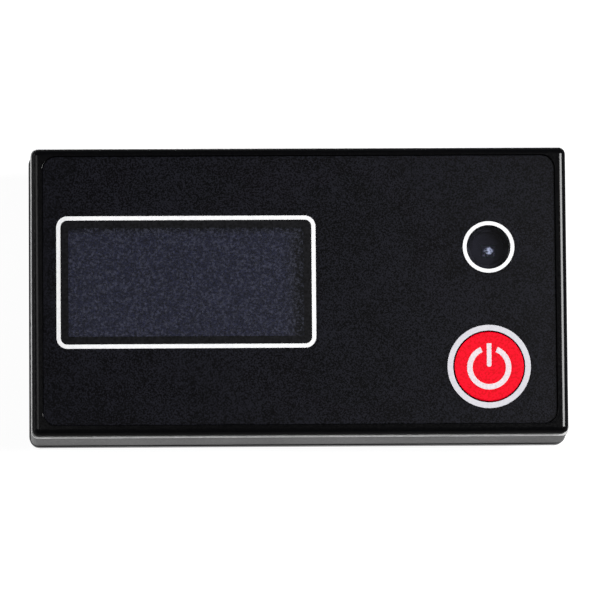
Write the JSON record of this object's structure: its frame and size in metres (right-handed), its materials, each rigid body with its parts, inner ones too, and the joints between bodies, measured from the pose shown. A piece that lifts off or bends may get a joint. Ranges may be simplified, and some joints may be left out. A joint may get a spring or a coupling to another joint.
{
  "type": "pager",
  "caption": "Flat pocket pager with a display window, an indicator, a round power key and a sprung belt clip behind.",
  "frame": {"origin": "middle of the footprint, on the outer face of the belt clip, with the pager lying on its back", "axes": "+X along the case towards the key, +Y towards the case's upper edge, +Z out of the front face"},
  "size_m": [0.0796, 0.0436, 0.025],
  "materials": {
    "gloss_black": "glossy moulded black, rounded rim",
    "face_film": "satin black film with a fine grain",
    "white_print": "printed white",
    "tinted_pane": "tinted, fine-grained pane",
    "smoked_lens": "smoked lens",
    "red_key": "satin red moulding",
    "seal_rubber": "black rubber",
    "grey_moulding": "fine-textured grey moulding",
    "mesh_cloth": "black acoustic cloth",
    "matte_black": "fine-textured black moulding",
    "zinc_steel": "bright zinc-plated steel",
    "board_green": "green circuit board",
    "part_tan": "ceramic chip parts",
    "holder_black": "black moulded holder",
    "panel_glass": "dark bluish panel, switched off",
    "diffuser_white": "white diffuser",
    "ribbon_amber": "amber film ribbon",
    "socket_cream": "cream moulding",
    "border_print": "black printed border",
    "gasket_grey": "light grey flat gasket",
    "led_resin": "clear and white resin",
    "bright_can": "tinned steel",
    "weight_brass": "plain brass",
    "cell_label": "plain blue cell jacket"
  },
  "bodies": {
    "case": {"front_frame": "gloss_black", "face_overlay": "face_film", "printed_outlines": "white_print", "display_window": "tinted_pane", "window_border": "border_print", "indicator_lens": "smoked_lens", "front_seal": "gasket_grey", "middle_frame": "grey_moulding", "sound_mesh": "mesh_cloth", "rear_seal": "seal_rubber", "rear_cover": "matte_black", "case_screws": "zinc_steel", "clip_pin": "zinc_steel", "clip_spring": "zinc_steel", "main_board": "board_green", "board_parts": "part_tan", "display_frame": "holder_black", "display_panel": "panel_glass", "display_backlight": "diffuser_white", "display_ribbon": "ribbon_amber", "ribbon_socket": "socket_cream", "power_switch": "holder_black", "indicator_led": "led_resin", "led_baffle": "holder_black", "sounder": "holder_black", "motor_case": "bright_can", "motor_cradle": "seal_rubber", "receiver_shield": "bright_can", "loop_antenna": "weight_brass", "crystal": "bright_can", "control_chip": "holder_black", "decoder_chip": "holder_black", "battery_cell": "cell_label", "battery_spring": "zinc_steel", "battery_plate": "zinc_steel"},
    "key": {"power_key": "red_key", "key_symbol": "white_print", "switch_plunger": "socket_cream"},
    "clip": {"belt_clip": "matte_black"},
    "door": {"battery_door": "matte_black"},
    "rotor": {"motor_shaft": "zinc_steel", "motor_weight": "weight_brass"}
  },
  "joints": [
    {"name": "key_press", "type": "slide", "parent": "case", "child": "key", "axis": [0, 0, -1], "range_m": [0, 0.00035], "stiffness_N_per_m": 3000},
    {"name": "clip_hinge", "type": "hinge", "parent": "case", "child": "clip", "pos_m": [0, 0.0145, 0.004], "axis": [1, 0, 0], "range_deg": [0, 18], "stiffness_Nm_per_rad": 0.6, "springref_deg": -20.05, "deforming": ["clip_spring"]},
    {"name": "door_slide", "type": "slide", "parent": "case", "child": "door", "axis": [1, 0, 0], "range_m": [0, 0.06]},
    {"name": "motor_spin", "type": "hinge", "parent": "case", "child": "rotor", "pos_m": [0.02, 0.012, 0.0134], "axis": [1, 0, 0], "continuous": true}
  ]
}
